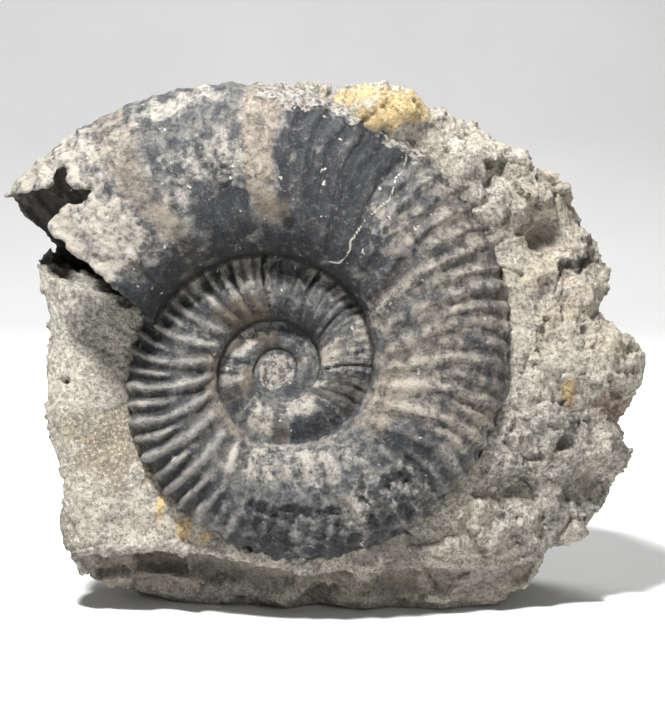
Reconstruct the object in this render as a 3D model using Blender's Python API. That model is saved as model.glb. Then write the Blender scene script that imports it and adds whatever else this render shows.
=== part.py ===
"""Ammonite fossil in a standing block of its own stone.

Two pieces: the ribbed, coiled shell with its broken, hollow mouth, and the block of sandy
limestone that holds it. Both are modelled on the coil's own plane, which leans back, and stand
on the block's flat underside at z = 0. Metres, +Z up, the fossil faces -Y.
"""

import math

import bmesh
import bpy
import numpy as np
from mathutils import Vector, noise

# Driving dimensions
BLOCK_WIDTH = 0.290
LEAN_BACK = math.radians(9)
COIL_CENTRE = (-0.0214, -0.0232, 0.1140)
VENTER_RADIUS_LEFT = 0.0684
GROWTH_PER_TURN = 2.33
SEAM_SHARE = 0.39
CREST_SHARE = 0.60
HALF_BREADTH_SHARE = 0.26
BACK_BREADTH_SHARE = 0.20
SHELL_WALL = 0.003
SOCKET_GAP = 0.0006
BACK_DEPTH_TOP = 0.058
BACK_DEPTH_FOOT = 0.084

# The photograph's frame: how many pixels the block spans, the coil's centre and the view's centre
BLOCK_WIDTH_PX = 638
PIXEL = BLOCK_WIDTH / BLOCK_WIDTH_PX
CENTRE_PX = (280.0, 369.5)
VIEW_CENTRE_PX = (332.5, 351.0)
VIEW_DISTANCE = 0.9


def on_face(x_px, y_px, height=0.0):
    """A pixel of the photograph as a point right and up from the coil's centre.

    The point is this high over the coil's plane, where it looks larger for being nearer.
    """
    nearer = 1 - height / VIEW_DISTANCE
    x_px = VIEW_CENTRE_PX[0] + (x_px - VIEW_CENTRE_PX[0]) * nearer
    y_px = VIEW_CENTRE_PX[1] + (y_px - VIEW_CENTRE_PX[1]) * nearer
    return (x_px - CENTRE_PX[0]) * PIXEL, (CENTRE_PX[1] - y_px) * PIXEL


def smooth_step(low, high, value):
    """0 below low, 1 above high, and a smooth rise between them."""
    share = min(1.0, max(0.0, (value - low) / (high - low)))
    return share * share * (3 - 2 * share)


def mesh_object(name, vertices, faces):
    """A mesh object on the coil's plane: its x is right, y up the plane and z out of it."""
    mesh = bpy.data.meshes.new(name)
    mesh.from_pydata(vertices, [], faces)
    work = bmesh.new()
    work.from_mesh(mesh)
    bmesh.ops.triangulate(work, faces=work.faces)
    bmesh.ops.recalc_face_normals(work, faces=work.faces)
    work.to_mesh(mesh)
    work.free()
    made = bpy.data.objects.new(name, mesh)
    bpy.context.scene.collection.objects.link(made)
    made.location = COIL_CENTRE
    made.rotation_euler = (math.pi / 2 - LEAN_BACK, 0, 0)
    return made


def as_cutter(made):
    made.hide_render = True
    made.display_type = "WIRE"
    return made


def reduce_to(made, share):
    """Merges the flattest triangles until this share of them is left."""
    modifier = made.modifiers.new("fewer_triangles", "DECIMATE")
    modifier.ratio = share
    return modifier


def cut_with(made, cutter):
    modifier = made.modifiers.new(f"cut_by_{cutter.name}", "BOOLEAN")
    modifier.operation = "DIFFERENCE"
    modifier.solver = "EXACT"
    modifier.object = cutter
    return modifier


def plain_material(name, colour, roughness):
    material = bpy.data.materials.new(name)
    material.use_nodes = True
    shader = material.node_tree.nodes["Principled BSDF"]
    shader.inputs["Base Color"].default_value = (*colour, 1)
    shader.inputs["Roughness"].default_value = roughness
    shader.inputs["Metallic"].default_value = 0.0
    return material


# The shell grows as a logarithmic spiral. Growth angles are in degrees, run anticlockwise, and
# increase towards the mouth; a share is a distance from the centre over the venter's radius.
FIRST_ANGLE = -480
FULL_RELIEF_ANGLE = -340
MOUTH_ANGLE = 519
FLANK_POWER = 2.4
WALL_POWER = 2.2
CORE_HEIGHT = 0.0035
CORE_DOME = 0.0008

# Ribs: the growth angles of some main ribs by their number, and how strongly ribs stand out
RIB_NUMBERS = [(-480, 0), (-60, 42), (104, 58), (158, 62), (240, 68), (330, 76), (420, 85), (519, 95)]
RIB_HEIGHT_SHARE = 0.020
SIDE_RIB_SHARE = 0.8
RIB_LEAN = 4.0
RIBS_RISE = (0.42, 0.56)
RIBS_FORK = (0.62, 0.82)
GROOVES_RISE = (0.40, 0.50)
RIB_STRENGTH = [
    (-340, 0.05),
    (-40, 0.25),
    (60, 0.30),
    (130, 0.75),
    (180, 1.00),
    (235, 0.85),
    (255, 0.30),
    (318, 0.30),
    (340, 0.75),
    (415, 0.60),
    (450, 0.35),
    (510, 0.25),
]

# Old growth halts: grooves across the whorl, as growth angle, half-width in degrees and depth share
HALT_GROOVES = [
    (-9, 2.4, 0.020),
    (2, 2.4, 0.030),
    (32, 4.0, 0.016),
    (66, 2.4, 0.012),
    (97, 2.4, 0.012),
    (456, 1.8, 0.010),
]


def venter_radius(angle):
    return VENTER_RADIUS_LEFT * GROWTH_PER_TURN ** ((angle - 180) / 360)


def outer_rise(share):
    """Height of the flank as a share of its greatest, from the crest out to the venter."""
    out = (share - CREST_SHARE) / (1 - CREST_SHARE)
    return math.sqrt(max(0.0, 1 - out**FLANK_POWER))


OVERLAP_SHARE = SEAM_SHARE * GROWTH_PER_TURN
SEAM_RISE = outer_rise(OVERLAP_SHARE) / GROWTH_PER_TURN


def inner_rise(share):
    """The same from the seam with the turn before, up the umbilical wall to the crest."""
    back = (CREST_SHARE - share) / (CREST_SHARE - SEAM_SHARE)
    return SEAM_RISE + (1 - SEAM_RISE) * max(0.0, 1 - back**WALL_POWER) ** 0.6


def rise(share):
    return inner_rise(share) if share < CREST_SHARE else outer_rise(share)


def along_list(places, value):
    """The second numbers of a list of pairs, read between its first ones at a value."""
    return float(np.interp(value, *zip(*places)))


def rib_relief(angle, share):
    """Ribs as a share of the radius: one wave on the inner flank, twice as many on the outer."""
    strength = along_list(RIB_STRENGTH, angle)
    lean = RIB_LEAN * math.sin(math.pi * min(1.0, max(0.0, (share - 0.4) / 0.6)))
    turn = 2 * math.pi * along_list(RIB_NUMBERS, angle - lean)
    forked = smooth_step(*RIBS_FORK, share)
    wave = (1 - forked) * math.cos(turn) + forked * SIDE_RIB_SHARE * math.cos(2 * turn)
    relief = RIB_HEIGHT_SHARE * strength * wave * smooth_step(*RIBS_RISE, share)
    for at, half_width, depth in HALT_GROOVES:
        dip = math.exp(-(((angle - at) / half_width) ** 2))
        relief -= depth * dip * smooth_step(*GROOVES_RISE, share)
    return relief


# Where the whorl's outline has its points, as shares, and the height under which ribs stop
SEAM_SHARES = [SEAM_SHARE, 0.397, 0.42, 0.455, 0.51]
FLANK_SHARES = [CREST_SHARE, 0.68, 0.76, 0.84, OVERLAP_SHARE]
VENTER_SHARES = [0.955, 0.985]
BACK_SHARES = [0.975, 0.90, 0.74, 0.50]
RIBS_END_HEIGHT_SHARE = -0.05


def section(angle, gap=None):
    """The whorl's outline at an angle, from the seam over the flank, round the venter to the back.

    Each point is (distance from the centre, height over the coil's plane). With a gap the outline
    has no ribs, and clears them by that much.
    """
    radius = venter_radius(angle)
    front_shares = SEAM_SHARES + FLANK_SHARES + VENTER_SHARES
    points = [(share, HALF_BREADTH_SHARE * rise(share)) for share in front_shares]
    points.append((1.0, 0.0))
    for share in BACK_SHARES:
        points.append((share, -BACK_BREADTH_SHARE * rise(max(share, CREST_SHARE))))
    emerged = smooth_step(FIRST_ANGLE, FULL_RELIEF_ANGLE, angle)
    shaped = []
    for place, (share, height) in enumerate(points):
        before = points[max(0, place - 1)]
        after = points[min(len(points) - 1, place + 1)]
        along = Vector((after[0] - before[0], after[1] - before[1])).normalized()
        outward = Vector((-along.y, along.x))
        push = 0.0
        if place:
            if gap is not None:
                push = gap / radius + RIB_HEIGHT_SHARE * along_list(RIB_STRENGTH, angle)
            elif height > RIBS_END_HEIGHT_SHARE:
                push = rib_relief(angle, share)
        out = (share + outward.x * push) * radius
        height = (height + outward.y * push) * radius
        shaped.append((out, CORE_HEIGHT + (height - CORE_HEIGHT) * emerged))
    return shaped


CREST_COLUMN = 5
SHARED_COLUMN = 9
BACK_CENTRE_HEIGHT = -0.020


def place_points(vertices, outline, angle):
    """Adds a section's points at its angle and returns their numbers."""
    turn = math.radians(angle)
    first = len(vertices)
    vertices += [(out * math.cos(turn), out * math.sin(turn), height) for out, height in outline]
    return list(range(first, len(vertices)))


def strip_faces(here, there):
    """Faces between two neighbouring sections."""
    columns = min(len(here), len(there)) - 1
    return [(here[place], there[place], there[place + 1], here[place + 1]) for place in range(columns)]


def coil_mesh(name, step):
    """The closed coil: rows along the growth angle, columns along the section.

    A turn's outer edge is the next turn's seam, so those two share their points. The last turn
    goes on round the venter to a plain back, which is buried in the stone.
    """
    per_turn = round(360 / step)
    rows = round((MOUTH_ANGLE - FIRST_ANGLE) / step)
    first_free = rows - per_turn
    vertices = []
    grid = []
    for row in range(rows + 1):
        angle = FIRST_ANGLE + row * step
        outline = section(angle)
        grid.append(place_points(vertices, outline if row > first_free else outline[:SHARED_COLUMN], angle))
    for row in range(first_free + 1):
        grid[row].append(grid[row + per_turn][0])
    free_row = place_points(vertices, section(MOUTH_ANGLE - 360)[SHARED_COLUMN + 1 :], MOUTH_ANGLE - 360)
    grid[first_free] += free_row
    back_centre, core_centre = len(vertices), len(vertices) + 1
    vertices += [(0.0, 0.0, BACK_CENTRE_HEIGHT), (0.0, 0.0, CORE_HEIGHT + CORE_DOME)]

    faces = []
    for row in range(rows):
        faces += strip_faces(grid[row], grid[row + 1])
        if row >= first_free:
            faces.append((grid[row][-1], grid[row + 1][-1], back_centre))
    faces.append(grid[rows] + [back_centre] + free_row[::-1])
    core_rim = [grid[row][0] for row in range(per_turn + 1)] + grid[0][SHARED_COLUMN - 1 : 0 : -1]
    for here, there in zip(core_rim, core_rim[1:] + core_rim[:1]):
        faces.append((here, there, core_centre))
    return mesh_object(name, vertices, faces)


def socket_cutter(step):
    """The room that the coil takes in the stone: its last turn, closed over the front in a fan."""
    vertices = [(0.0, 0.0, SOCKET_FRONT_HEIGHT), (0.0, 0.0, BACK_CENTRE_HEIGHT - SOCKET_GAP)]
    faces = []
    first_angle = SOCKET_MOUTH_ANGLE - 360
    grid = []
    for angle in range(first_angle, SOCKET_MOUTH_ANGLE + 1, step):
        grid.append(place_points(vertices, section(angle, SOCKET_GAP)[CREST_COLUMN:], angle))
    for here, there in zip(grid, grid[1:]):
        faces += strip_faces(here, there)
        faces.append((here[0], there[0], 0))
        faces.append((here[-1], there[-1], 1))
    faces.append([0] + grid[-1] + [1] + grid[0][::-1])
    return as_cutter(mesh_object("socket_cutter", vertices, faces))


# The hollow mouth: the body chamber's empty end, the hole broken in its flank, how far its rear
# wall reaches, and the edge of the stone below it
CHAMBER_INNER_ANGLE = 486
CHAMBER_OUTER_ANGLE = 525
CHAMBER_STEP = 3
CHAMBER_END_SIZE = 0.12
CHAMBER_END_ROUNDING = 12
CHAMBER_SHARES = [0.52, 0.57, 0.64, 0.74, 0.84, 0.92, 0.965]
FLANK_BREAK_PX = [
    (64, 162),
    (68, 168),
    (70, 181),
    (73, 187),
    (80, 190),
    (94, 190),
    (92, 198),
    (85, 204),
    (62, 211),
    (54, 220),
    (51, 229),
    (56, 237),
    (66, 241),
    (73, 252),
    (85, 262),
    (98, 270),
    (107, 276),
    (118, 290),
    (-60, 330),
    (-60, 193),
    (16, 193),
    (38, 191),
    (48, 187),
    (55, 174),
]
REAR_BREAK_PX = [(12, 194), (14, 210), (30, 224), (43, 236), (46, 246), (-60, 300), (-60, 150), (6, 150)]
STONE_BELOW_MOUTH_PX = [
    (46, 240),
    (50, 256),
    (57, 264),
    (74, 270),
    (88, 276),
    (106, 281),
    (118, 286),
    (146, 313),
    (138, 322),
    (124, 350),
    (90, 420),
    (-60, 420),
    (-60, 240),
]


def chamber_ring(angle, narrowed):
    """The chamber's inside at an angle, one wall's thickness in from the shell's outside."""
    radius = venter_radius(angle)
    ring = []
    for share in CHAMBER_SHARES:
        ring.append((share * radius, HALF_BREADTH_SHARE * rise(share) * radius - SHELL_WALL))
    for share in reversed(CHAMBER_SHARES):
        depth = BACK_BREADTH_SHARE * rise(max(share, CREST_SHARE)) * radius - SHELL_WALL
        ring.append((share * radius, -depth))
    middle_out = sum(out for out, _ in ring) / len(ring)
    middle_up = sum(up for _, up in ring) / len(ring)
    turn = math.radians(angle)
    placed = []
    for out, up in ring:
        out = middle_out + (out - middle_out) * narrowed
        up = middle_up + (up - middle_up) * narrowed
        placed.append((out * math.cos(turn), out * math.sin(turn), up))
    return placed


def chamber_cutter():
    """The hollow of the body chamber, with a rounded inner end."""
    vertices = []
    faces = []
    angles = list(range(CHAMBER_INNER_ANGLE, CHAMBER_OUTER_ANGLE + 1, CHAMBER_STEP))
    for angle in angles:
        depth = (angle - CHAMBER_INNER_ANGLE) / CHAMBER_END_ROUNDING
        vertices += chamber_ring(angle, math.sqrt(min(1.0, CHAMBER_END_SIZE + depth)))
    around = 2 * len(CHAMBER_SHARES)
    for row in range(len(angles) - 1):
        for column in range(around):
            following = (column + 1) % around
            start, beyond = row * around, (row + 1) * around
            faces.append((start + column, start + following, beyond + following, beyond + column))
    faces.append(tuple(range(around)))
    faces.append(tuple(range(len(vertices) - around, len(vertices))))
    return as_cutter(mesh_object("chamber_cutter", vertices, faces))


def prism_cutter(name, outline_px, low, high, seen_at=0.0, moved=0.0):
    """A prism of that outline, read at the height where it is seen, from one height to another.

    It can be moved by some distance, the same to the right and up.
    """
    outline = [on_face(*point, seen_at) for point in outline_px]
    vertices = [(right + moved, up + moved, height) for height in (low, high) for right, up in outline]
    count = len(outline)
    faces = [tuple(range(count)), tuple(range(count, 2 * count))]
    for place in range(count):
        following = (place + 1) % count
        faces.append((place, following, count + following, count + place))
    return as_cutter(mesh_object(name, vertices, faces))


AMMONITE_STEP = 1
SOCKET_STEP = 3
SOCKET_MOUTH_ANGLE = 522
SOCKET_FRONT_HEIGHT = 0.030
AMMONITE_SHARE_KEPT = 0.185
CLEAR_OF_COIL = 0.080
REAR_BREAK_TOP = 0.001
FLANK_EDGE_HEIGHT = 0.026
STONE_EDGE_HEIGHT = 0.004


def stone_edge_cutter(name, moved):
    return prism_cutter(name, STONE_BELOW_MOUTH_PX, -CLEAR_OF_COIL, CLEAR_OF_COIL, STONE_EDGE_HEIGHT, moved)


def build_ammonite():
    shell = coil_mesh("ammonite", AMMONITE_STEP)
    shell.data.materials.append(plain_material("grey_blue_shell", (0.20, 0.21, 0.23), 0.55))
    reduce_to(shell, AMMONITE_SHARE_KEPT)
    cut_with(shell, chamber_cutter())
    flank = prism_cutter("flank_break_cutter", FLANK_BREAK_PX, 0.0, CLEAR_OF_COIL, FLANK_EDGE_HEIGHT)
    cut_with(shell, flank)
    rear = prism_cutter("rear_break_cutter", REAR_BREAK_PX, -CLEAR_OF_COIL, REAR_BREAK_TOP)
    cut_with(shell, rear)
    cut_with(shell, stone_edge_cutter("shell_end_cutter", SOCKET_GAP))
    return shell


# The stone block. Its outline goes clockwise in the photograph from the tip beside the mouth; the
# first stretch runs hidden behind the shell.
OUTLINE_CENTRE_PX = (335.0, 360.0)
OUTLINE_PX = [
    (46, 243), (58, 222), (76, 196), (98, 170), (128, 146), (164, 128), (205, 116), (244, 106), (268, 96),
    (285, 86), (294, 81), (303, 79), (312, 82), (321, 91), (340, 90), (362, 90), (376, 89),
    (384, 93), (407, 93), (418, 98), (425, 108), (440, 109), (456, 120), (475, 120), (482, 131),
    (500, 143), (517, 150),
    (530, 158), (538, 166), (556, 171), (566, 181), (572, 198), (581, 210), (587, 224), (604, 240),
    (611, 256), (616, 268), (612, 288), (604, 300), (603, 312), (620, 327), (643, 341), (650, 352),
    (649, 376), (639, 390), (637, 404), (626, 416), (621, 428), (624, 441), (634, 452), (642, 463),
    (636, 475), (620, 487), (604, 510), (594, 526), (587, 538), (566, 543), (549, 552), (548, 568),
    (540, 581), (526, 594), (512, 599), (500, 609), (480, 613), (440, 617), (410, 620), (370, 618),
    (330, 615), (285, 616), (250, 619), (215, 613), (175, 608), (155, 601), (125, 599), (100, 597),
    (88, 587), (78, 577), (70, 564), (62, 548), (59, 530), (58, 510), (60, 480), (55, 458), (46, 438),
    (43, 412), (45, 380), (49, 350), (49, 322), (43, 303), (38, 284), (34, 262), (37, 251),
]

# Heights of the block's front over the coil's plane, at pixels of the photograph, in millimetres
FRONT_HEIGHTS = [
    (45, 262, 4), (60, 290, 5), (95, 300, 4), (60, 350, 3), (100, 350, 2), (60, 400, 3), (100, 410, 1),
    (70, 450, 1), (120, 450, 0), (75, 500, 0), (125, 500, 1), (160, 505, 2), (75, 540, -2), (130, 538, -2),
    (190, 540, 1), (240, 556, 2), (300, 568, 2), (360, 566, 3), (430, 540, 3), (470, 500, 5), (90, 575, -13),
    (160, 585, -17), (220, 595, -16), (250, 612, -20), (300, 588, -6), (310, 604, -22), (360, 592, -12),
    (400, 610, -18), (460, 580, -8), (480, 606, -18), (520, 570, -12), (540, 540, -8), (500, 530, 0),
    (560, 530, -9), (590, 505, -12), (560, 490, -2), (610, 480, -14), (635, 465, -18), (600, 445, -3),
    (560, 440, 3), (520, 440, 6), (525, 390, 8), (570, 400, 2), (610, 380, 0), (640, 360, -8), (620, 410, -8),
    (560, 350, 5), (600, 330, -2), (525, 330, 9), (580, 290, 3), (607, 275, -6), (520, 270, 10),
    (545, 237, 2), (575, 235, 0), (600, 245, -6), (520, 215, 9), (490, 200, 13), (550, 190, 4), (500, 165, 8),
    (465, 170, 15), (450, 145, 14), (470, 130, 5), (425, 125, 14), (395, 108, 17), (365, 118, 22),
    (340, 108, 22), (310, 104, 21), (300, 92, 15), (345, 95, 14),
]
BLEND_REACH = 0.004
INSIDE_COIL_HEIGHT = -0.008
COVER_FADES = (0.84, 0.92)
LEDGE_SOFTNESS_PX = (-4, 5)
LEDGE_PX = [(60, 560), (110, 556), (165, 550), (200, 556), (240, 562), (300, 575)]
LEDGE_DROP = [(60, 0.004), (120, 0.006), (180, 0.008), (240, 0.005), (300, 0.0)]

# Lumps and hollows on the front: pixel, reach in pixels and height in millimetres
FRONT_LUMPS = [
    (396, 106, 26, 5),
    (545, 238, 22, -5),
    (598, 266, 16, -3),
    (566, 443, 7, -4),
    (590, 483, 24, -5),
    (512, 488, 18, -3),
    (545, 365, 16, 3),
    (625, 408, 16, -4),
    (600, 352, 26, 3),
    (350, 596, 40, -4),
]


def coil_cover(right, up):
    """How deep inside the coil's outline a point lies: 1 well inside, 0 outside."""
    out = math.hypot(right, up)
    angle = math.degrees(math.atan2(up, right)) % 360
    angle += 360 if angle < MOUTH_ANGLE - 363 else 0
    return 1 - smooth_step(*COVER_FADES, out / venter_radius(angle))


def front_height(right, up):
    """The block's front over the coil's plane: nearby stated heights blended, ledge and lumps."""
    total = weights = 0.0
    for x_px, y_px, height_mm in FRONT_HEIGHTS:
        there_right, there_up = on_face(x_px, y_px)
        apart = (right - there_right) ** 2 + (up - there_up) ** 2
        weight = 1 / (apart + BLEND_REACH**2) ** 2
        total += weight * height_mm / 1000
        weights += weight
    height = total / weights
    x_px = right / PIXEL + CENTRE_PX[0]
    y_px = CENTRE_PX[1] - up / PIXEL
    under_ledge = smooth_step(*LEDGE_SOFTNESS_PX, y_px - along_list(LEDGE_PX, x_px))
    height -= under_ledge * along_list(LEDGE_DROP, x_px)
    for lump_x, lump_y, reach, lump_mm in FRONT_LUMPS:
        apart = ((x_px - lump_x) ** 2 + (y_px - lump_y) ** 2) / reach**2
        height += lump_mm / 1000 * math.exp(-apart)
    covered = coil_cover(right, up)
    return height * (1 - covered) + INSIDE_COIL_HEIGHT * covered


def roughness(right, up, height, size, seed):
    """Smooth noise from -1 to 1 whose lumps are about this size."""
    place = Vector((right, up, height)) / size + Vector((seed, 2 * seed, 3 * seed))
    return noise.fractal(place, 0.9, 2.1, 3)


def outline_distance(direction):
    """How far the block's outline lies from its centre in a direction on the coil's plane."""
    centre = Vector(on_face(*OUTLINE_CENTRE_PX))
    ray = Vector((math.cos(direction), math.sin(direction)))
    corners = [Vector(on_face(*point)) - centre for point in OUTLINE_PX]
    found = 0.0
    for start, end in zip(corners, corners[1:] + corners[:1]):
        edge = end - start
        across = ray.x * edge.y - ray.y * edge.x
        if abs(across) < 1e-12:
            continue
        along_ray = (start.x * edge.y - start.y * edge.x) / across
        along_edge = (start.x * ray.y - start.y * ray.x) / across
        if along_ray > 0 and -1e-6 <= along_edge <= 1 + 1e-6:
            found = max(found, along_ray)
    return found


DIRECTIONS = 180
FRONT_RINGS = 26
SIDE_RINGS = 10
BACK_RINGS = 14
EDGE_ROUNDING = 0.006
BACK_TAPER = 0.90
FOOT_SPREAD = 0.13
BACK_EDGE_ROUNDING = 0.018
BACK_EDGE_BLUR = 9
BACK_SLOPE = (-0.11, 0.12)
BACK_SINK = 0.004
MATRIX_SHARE_KEPT = 0.20

# Bumps of the broken stone: height and size
FRONT_BUMPS = (0.0022, 0.034)
SIDE_BUMPS = (0.006, 0.060)
EDGE_BUMPS = (0.003, 0.022)
BACK_BUMPS = (0.007, 0.060)


def back_depth(up):
    """The block is thicker at its foot than at its top."""
    return BACK_DEPTH_FOOT + (BACK_DEPTH_TOP - BACK_DEPTH_FOOT) * smooth_step(*BACK_SLOPE, up)


def front_point(direction, reach, ring):
    """A point of the front, from its middle at ring 0 to its rim."""
    centre_right, centre_up = on_face(*OUTLINE_CENTRE_PX)
    share = 1 - (1 - ring / FRONT_RINGS) ** 1.25
    right = centre_right + share * reach * math.cos(direction)
    up = centre_up + share * reach * math.sin(direction)
    rounding = EDGE_ROUNDING * smooth_step(0.90, 1.0, share) ** 2
    bumps = FRONT_BUMPS[0] * roughness(right, up, 0, FRONT_BUMPS[1], 3)
    return right, up, front_height(right, up) + bumps - rounding


def rear_point(direction, rim, back_reach, ring):
    """A point of the side or the back, from the front's rim to the back's middle."""
    centre_right, centre_up = on_face(*OUTLINE_CENTRE_PX)
    down = min(1.0, ring / SIDE_RINGS)
    inward = max(0.0, ring - SIDE_RINGS) / BACK_RINGS
    rim_reach = math.hypot(rim[0] - centre_right, rim[1] - centre_up)
    taper = BACK_TAPER + FOOT_SPREAD * max(0.0, -math.sin(direction)) ** 2
    reach = rim_reach + (back_reach * taper - rim_reach) * smooth_step(0.0, 1.0, down)
    reach *= 1 - inward**1.2
    right = centre_right + reach * math.cos(direction)
    up = centre_up + reach * math.sin(direction)
    edge_round = BACK_EDGE_ROUNDING * (1 - inward) ** 3
    height = rim[2] + (edge_round - back_depth(up) - rim[2]) * down
    if inward == 0:
        bulge = SIDE_BUMPS[0] * roughness(right, up, height, SIDE_BUMPS[1], 11)
        outward = bulge * math.sin(math.pi * min(1.0, 0.1 + 0.6 * down))
        outward += EDGE_BUMPS[0] * roughness(right, up, height, EDGE_BUMPS[1], 5) * down
        return right + outward * math.cos(direction), up + outward * math.sin(direction), height
    hollows = BACK_BUMPS[0] * roughness(right, up, 0, BACK_BUMPS[1], 17)
    return right, up, height - hollows - BACK_SINK


def block_mesh():
    faces = []
    rings = FRONT_RINGS + SIDE_RINGS + BACK_RINGS
    directions = [2 * math.pi * place / DIRECTIONS for place in range(DIRECTIONS)]
    reaches = [outline_distance(direction) for direction in directions]
    around = range(-BACK_EDGE_BLUR, BACK_EDGE_BLUR + 1)
    vertices = [front_point(0.0, reaches[0], 0)]
    for ring in range(1, FRONT_RINGS + 1):
        vertices += [front_point(direction, reach, ring) for direction, reach in zip(directions, reaches)]
    rims = vertices[-DIRECTIONS:]
    for ring in range(1, SIDE_RINGS + BACK_RINGS):
        for place, direction in enumerate(directions):
            near = [reaches[(place + step) % DIRECTIONS] for step in around]
            vertices.append(rear_point(direction, rims[place], sum(near) / len(near), ring))
    vertices.append(rear_point(0.0, rims[0], reaches[0], SIDE_RINGS + BACK_RINGS))
    last = len(vertices) - 1
    for place in range(DIRECTIONS):
        following = (place + 1) % DIRECTIONS
        faces.append((0, 1 + place, 1 + following))
        for ring in range(rings - 2):
            start = 1 + ring * DIRECTIONS
            beyond = start + DIRECTIONS
            faces.append((start + place, beyond + place, beyond + following, start + following))
        start = 1 + (rings - 2) * DIRECTIONS
        faces.append((start + place, last, start + following))
    return mesh_object("matrix", vertices, faces)


def floor_cutter():
    """Everything under the surface that the block stands on."""
    deep = 0.05
    bpy.ops.mesh.primitive_cube_add(size=1, location=(0, 0, -deep / 2))
    cutter = bpy.context.object
    cutter.name = "floor_cutter"
    cutter.scale = (0.6, 0.6, deep)
    return as_cutter(cutter)


def build_matrix():
    block = block_mesh()
    block.data.materials.append(plain_material("sandy_limestone", (0.46, 0.44, 0.40), 0.9))
    reduce_to(block, MATRIX_SHARE_KEPT)
    cut_with(block, floor_cutter())
    socket = socket_cutter(SOCKET_STEP)
    cut_with(socket, stone_edge_cutter("stone_edge_cutter", 0.0))
    cut_with(block, socket)
    return block


def build():
    for old in list(bpy.data.objects):
        bpy.data.objects.remove(old)
    build_ammonite()
    build_matrix()


build()
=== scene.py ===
import math

import bpy
import numpy as np
from mathutils import Matrix, Vector, noise
from mathutils.bvhtree import BVHTree


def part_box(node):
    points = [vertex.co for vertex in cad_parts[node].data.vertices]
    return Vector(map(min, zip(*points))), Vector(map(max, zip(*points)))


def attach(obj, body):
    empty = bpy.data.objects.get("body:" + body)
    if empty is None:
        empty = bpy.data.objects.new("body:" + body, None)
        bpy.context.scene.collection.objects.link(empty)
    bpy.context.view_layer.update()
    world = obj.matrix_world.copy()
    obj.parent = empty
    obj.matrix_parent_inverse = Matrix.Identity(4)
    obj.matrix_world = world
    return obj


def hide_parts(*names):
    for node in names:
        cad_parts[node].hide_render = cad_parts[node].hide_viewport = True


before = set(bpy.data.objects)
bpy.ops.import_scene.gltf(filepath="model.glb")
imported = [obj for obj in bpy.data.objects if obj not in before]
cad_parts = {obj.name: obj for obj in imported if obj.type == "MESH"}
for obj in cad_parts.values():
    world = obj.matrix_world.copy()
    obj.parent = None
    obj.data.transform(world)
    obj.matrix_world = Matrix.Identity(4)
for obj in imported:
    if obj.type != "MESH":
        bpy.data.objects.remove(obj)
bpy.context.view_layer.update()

# The photograph's view
# The block leans back a little on its broken foot, and the camera looks square at the coil's plane.
# A pixel of the 665 x 702 photograph is a fixed length on that plane, set by the width of the block.
LEAN = math.radians(9)
COIL_CENTRE = Vector((-0.0214, -0.0232, 0.1140))
BLOCK_WIDTH = 0.290
BLOCK_WIDTH_PX = 638
PIXEL = BLOCK_WIDTH / BLOCK_WIDTH_PX
CENTRE_PX = (280.0, 369.5)
VIEW_CENTRE_PX = (332.5, 351.0)
PHOTO_HEIGHT_PX = 702
VIEW_DISTANCE = 0.9
SENSOR = 36.0

RIGHT = Vector((1, 0, 0))
UP = Vector((0, math.sin(LEAN), math.cos(LEAN)))
OUT = Vector((0, -math.cos(LEAN), math.sin(LEAN)))
FACE_TO_WORLD = Matrix.Translation(COIL_CENTRE) @ Matrix((RIGHT, UP, OUT)).transposed().to_4x4()
WORLD_TO_FACE = FACE_TO_WORLD.inverted()


def on_face(x_px, y_px, height=0.0):
    """A pixel of the photograph as a point right and up from the coil's centre, at that height."""
    nearer = 1 - height / VIEW_DISTANCE
    x_px = VIEW_CENTRE_PX[0] + (x_px - VIEW_CENTRE_PX[0]) * nearer
    y_px = VIEW_CENTRE_PX[1] + (y_px - VIEW_CENTRE_PX[1]) * nearer
    return (x_px - CENTRE_PX[0]) * PIXEL, (CENTRE_PX[1] - y_px) * PIXEL


view_right, view_up = on_face(*VIEW_CENTRE_PX)
view_target = COIL_CENTRE + RIGHT * view_right + UP * view_up
bpy.ops.object.camera_add(location=view_target + OUT * VIEW_DISTANCE)
camera = bpy.context.object
camera.rotation_euler = (-OUT).to_track_quat("-Z", "Y").to_euler()
camera.data.sensor_width = SENSOR
camera.data.lens = SENSOR * VIEW_DISTANCE / (PHOTO_HEIGHT_PX * PIXEL)
bpy.context.scene.camera = camera


# The ammonite
# A flat coil that grew as a logarithmic spiral, now grey-blue stone with worn, paler ribs. Its last
# turn ends in the broken, hollow mouth of the body chamber. It lies half sunk in the block.
VENTER_RADIUS_LEFT = 0.0684
GROWTH_PER_TURN = 2.33
SEAM_SHARE = 0.39
OVERLAP_SHARE = SEAM_SHARE * GROWTH_PER_TURN
CREST_SHARE = 0.60
HALF_BREADTH_SHARE = 0.26
BACK_BREADTH_SHARE = 0.20
FLANK_POWER = 2.4
WALL_POWER = 2.2
FIRST_ANGLE = -480
FULL_RELIEF_ANGLE = -340
MOUTH_ANGLE = 519
LAST_TURN_ANGLE = MOUTH_ANGLE - 360
RING_STEP = 3
CORE_HEIGHT = 0.0035
CORE_RADIUS = 0.0125
CORE_DEPTH = 0.012
SHELL_WALL = 0.003
JOINING_FACE_SIZE = 0.0013
SHELL_FACE_SIZE = 0.00092
MOST_TRIANGLES = 192000


def deselect_all():
    bpy.ops.object.select_all(action="DESELECT")


def work_on(piece):
    deselect_all()
    piece.select_set(True)
    bpy.context.view_layer.objects.active = piece


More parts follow.
